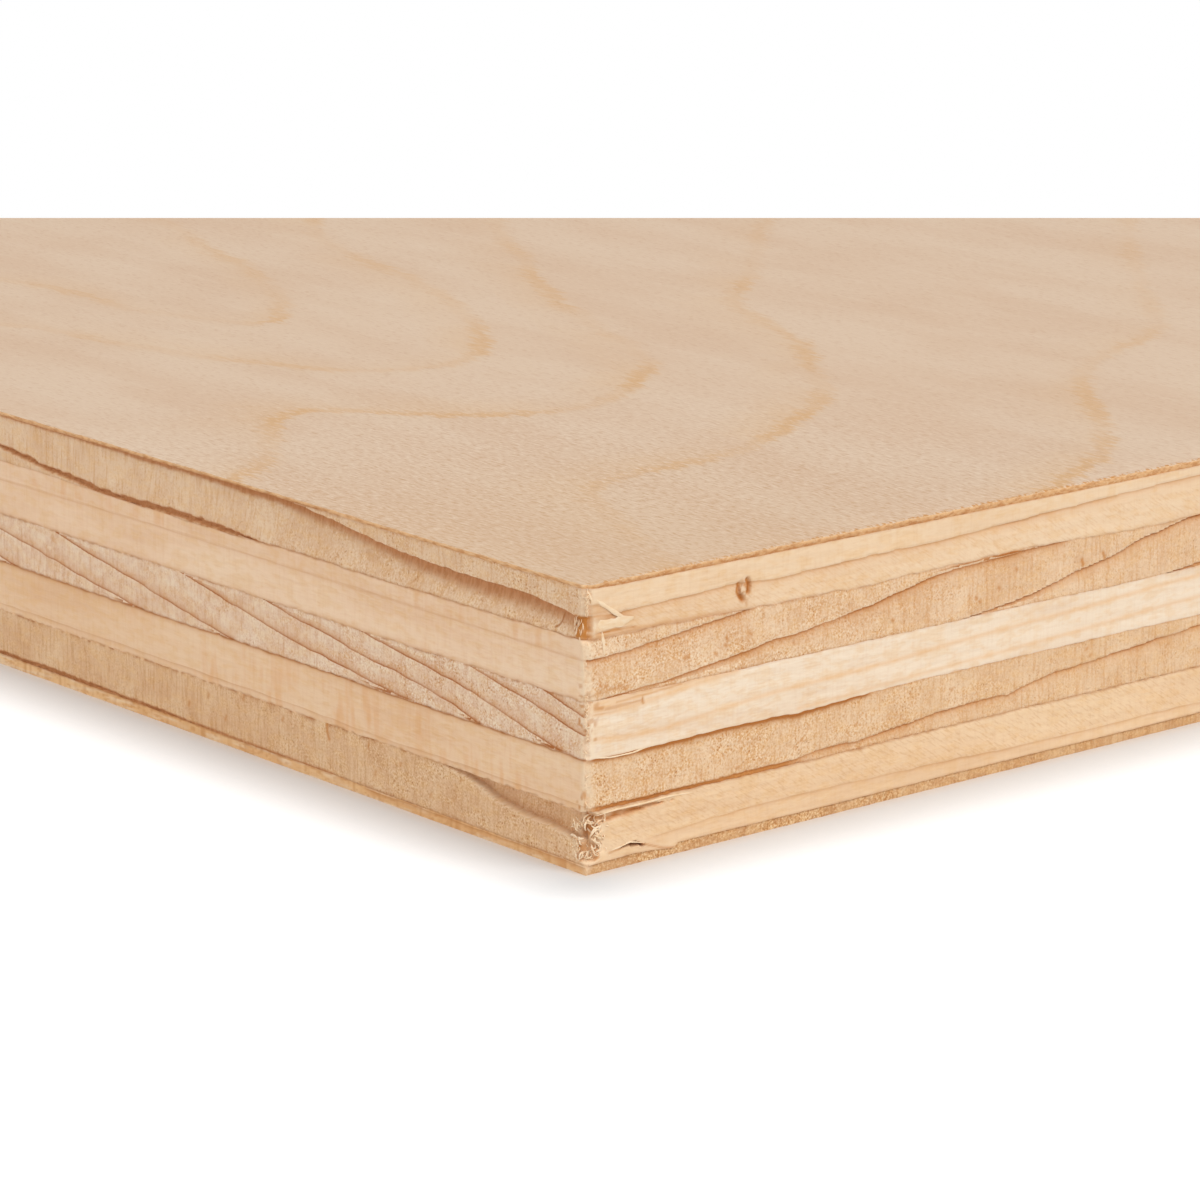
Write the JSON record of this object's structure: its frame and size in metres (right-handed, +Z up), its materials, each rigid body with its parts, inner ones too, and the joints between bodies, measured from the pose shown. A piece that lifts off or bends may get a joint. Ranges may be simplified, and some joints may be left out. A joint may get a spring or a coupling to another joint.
{
  "type": "plywood sheet",
  "caption": "Flat sheet of hardwood-faced plywood with sawn edges, crossed layers of veneer, and open joints and torn fibres at one worn corner.",
  "frame": {"origin": "centre of the sheet's underside, on the floor that it lies on", "axes": "+X along the sheet's length and the grain of its faces, +Y across its width, +Z up through its thickness to the face veneer"},
  "size_m": [1.22, 0.61, 0.018],
  "materials": {
    "face_veneer": "sanded, unfinished, matt",
    "crossband": "sawn, unfinished, matt",
    "crossband_centre": "sawn, unfinished, matt",
    "long_ply": "sawn, unfinished, matt",
    "back_veneer": "sanded, unfinished, matt"
  },
  "bodies": {
    "root": {"back_veneer": "back_veneer", "crossband_bottom": "crossband", "long_ply_bottom": "long_ply", "crossband_centre": "crossband_centre", "long_ply_top": "long_ply", "crossband_top": "crossband", "face_veneer": "face_veneer"}
  },
  "joints": []
}
